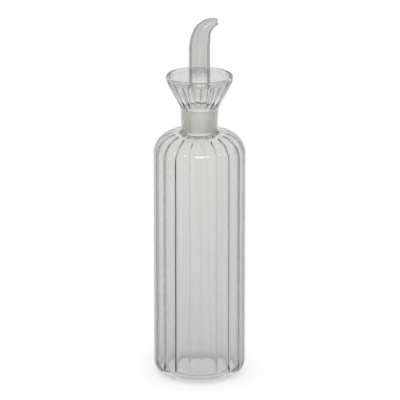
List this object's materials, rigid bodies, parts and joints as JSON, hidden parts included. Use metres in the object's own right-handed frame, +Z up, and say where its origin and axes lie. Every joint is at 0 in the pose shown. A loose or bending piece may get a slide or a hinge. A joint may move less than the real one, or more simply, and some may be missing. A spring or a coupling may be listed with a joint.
{
  "type": "glass oil bottle",
  "caption": "Tall clear glass oil bottle with vertical inner flutes, a ground neck, a fluted drip funnel and a glass pourer with a curved beak.",
  "frame": {"origin": "middle of the flat base, on the surface that the bottle stands on", "axes": "+Z up along the bottle's axis, +X the way the pourer's beak points, +Y away from the front"},
  "size_m": [0.065, 0.065, 0.2608],
  "materials": {
    "bottle_glass": "clear polished glass, ground matt inside the neck",
    "pourer_glass": "clear polished glass, ground matt on the plug"
  },
  "bodies": {
    "root": {"bottle": "bottle_glass", "spout": "pourer_glass"}
  },
  "joints": []
}
